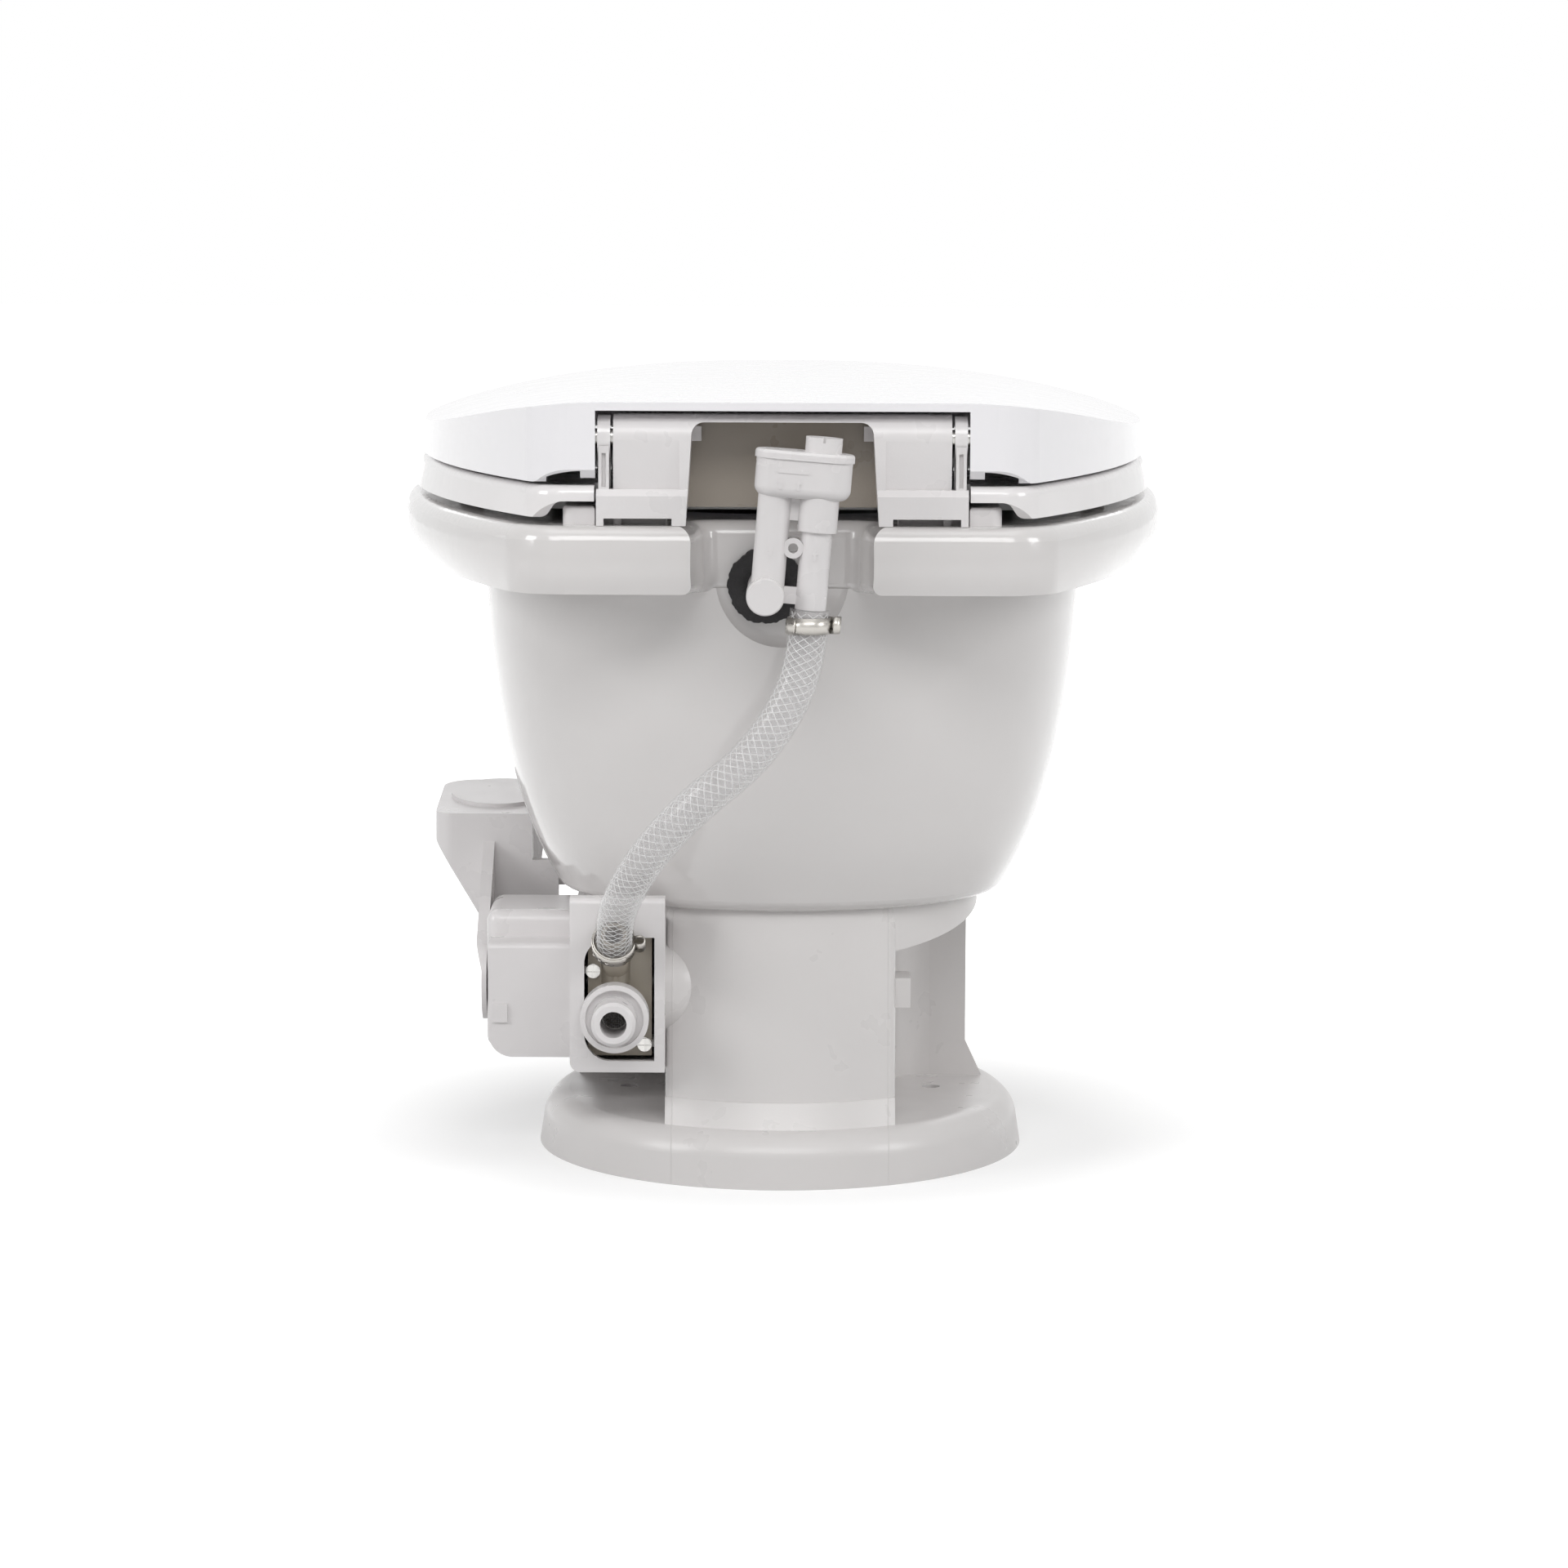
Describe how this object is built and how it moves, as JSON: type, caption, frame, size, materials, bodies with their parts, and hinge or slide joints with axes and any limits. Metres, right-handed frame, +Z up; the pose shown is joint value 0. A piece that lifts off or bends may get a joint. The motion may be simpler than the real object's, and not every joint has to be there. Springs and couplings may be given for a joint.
{
  "type": "gravity flush toilet",
  "caption": "Low gravity-flush toilet with an oval ceramic bowl, hinged seat and lid, foot pedal, ball valve, water valve, hose and vacuum breaker.",
  "frame": {"origin": "centre of the waste outlet at floor level", "axes": "+Z up, the front of the bowl faces -Y, the foot pedal is on the +X side"},
  "size_m": [0.394, 0.5235, 0.3789],
  "materials": {
    "bowl_glaze": "gloss white glaze",
    "base_shell": "satin white moulded",
    "lid_enamel": "gloss white",
    "seat_enamel": "gloss white",
    "white_moulding": "satin white moulded",
    "pale_moulding": "satin white moulded",
    "valve_plastic": "grey-tan moulded",
    "clear_hose": "clear hose with a white braid",
    "bumper_rubber": "soft white",
    "dark_foam": "black foam",
    "seal_rubber": "black",
    "stainless": "bright",
    "spring_steel": "bright"
  },
  "bodies": {
    "bowl_and_base": {"base": "base_shell", "valve_chamber": "base_shell", "floor_seal": "seal_rubber", "ball_seal": "seal_rubber", "pivot_bushes": "valve_plastic", "half_clamps": "white_moulding", "clamp_screws": "stainless", "bowl": "bowl_glaze", "inlet_gasket": "dark_foam", "hinge_bracket": "white_moulding", "riser_pads": "white_moulding", "hinge_pins": "stainless", "hinge_bolts": "stainless", "hinge_washers": "stainless", "hinge_nuts": "stainless", "vacuum_breaker": "pale_moulding", "breaker_plug": "pale_moulding", "breaker_cap": "pale_moulding", "water_hose": "clear_hose", "hose_clamps": "stainless", "valve_body": "valve_plastic", "valve_inlet": "white_moulding", "inlet_screen": "stainless", "valve_screws": "stainless", "valve_housing": "white_moulding", "hub_cover": "white_moulding", "spring_cartridge": "valve_plastic", "return_spring": "spring_steel"},
    "seat": {"seat": "seat_enamel", "seat_bumpers": "bumper_rubber"},
    "lid": {"lid": "lid_enamel", "lid_bumpers": "bumper_rubber"},
    "flush_drive": {"drive_shaft": "stainless", "flush_ball": "pale_moulding", "drive_cam": "valve_plastic"},
    "pedal": {"pedal": "white_moulding", "pedal_screw": "stainless"},
    "float": {"breaker_float": "valve_plastic"},
    "plunger": {"valve_plunger": "valve_plastic"}
  },
  "joints": [
    {"name": "seat_hinge", "type": "hinge", "parent": "bowl_and_base", "child": "seat", "pos_m": [0, 0.146, 0.362], "axis": [-1, 0, 0], "range_deg": [0, 95]},
    {"name": "lid_hinge", "type": "hinge", "parent": "seat", "child": "lid", "pos_m": [0, 0.146, 0.362], "axis": [1, 0, 0], "range_deg": [-95, 0]},
    {"name": "flush", "type": "hinge", "parent": "bowl_and_base", "child": "flush_drive", "pos_m": [0, 0, 0.08], "axis": [1, 0, 0], "range_deg": [0, 48], "stiffness_Nm_per_rad": 2, "springref_deg": -34.38},
    {"name": "pedal_lift", "type": "hinge", "parent": "flush_drive", "child": "pedal", "pos_m": [0, 0, 0.08], "axis": [1, 0, 0], "range_deg": [-8, 0], "stiffness_Nm_per_rad": 0.6},
    {"name": "float_rise", "type": "slide", "parent": "bowl_and_base", "child": "float", "axis": [-0.0785, 0, 0.9969], "range_m": [0, 0.006]},
    {"name": "valve_plunger", "type": "slide", "parent": "bowl_and_base", "child": "plunger", "axis": [0, 1, 0], "range_m": [0, 0.003]}
  ],
  "couplings": [
    {"joint": "valve_plunger", "follows": "flush", "m_per_rad": 0.00358}
  ]
}
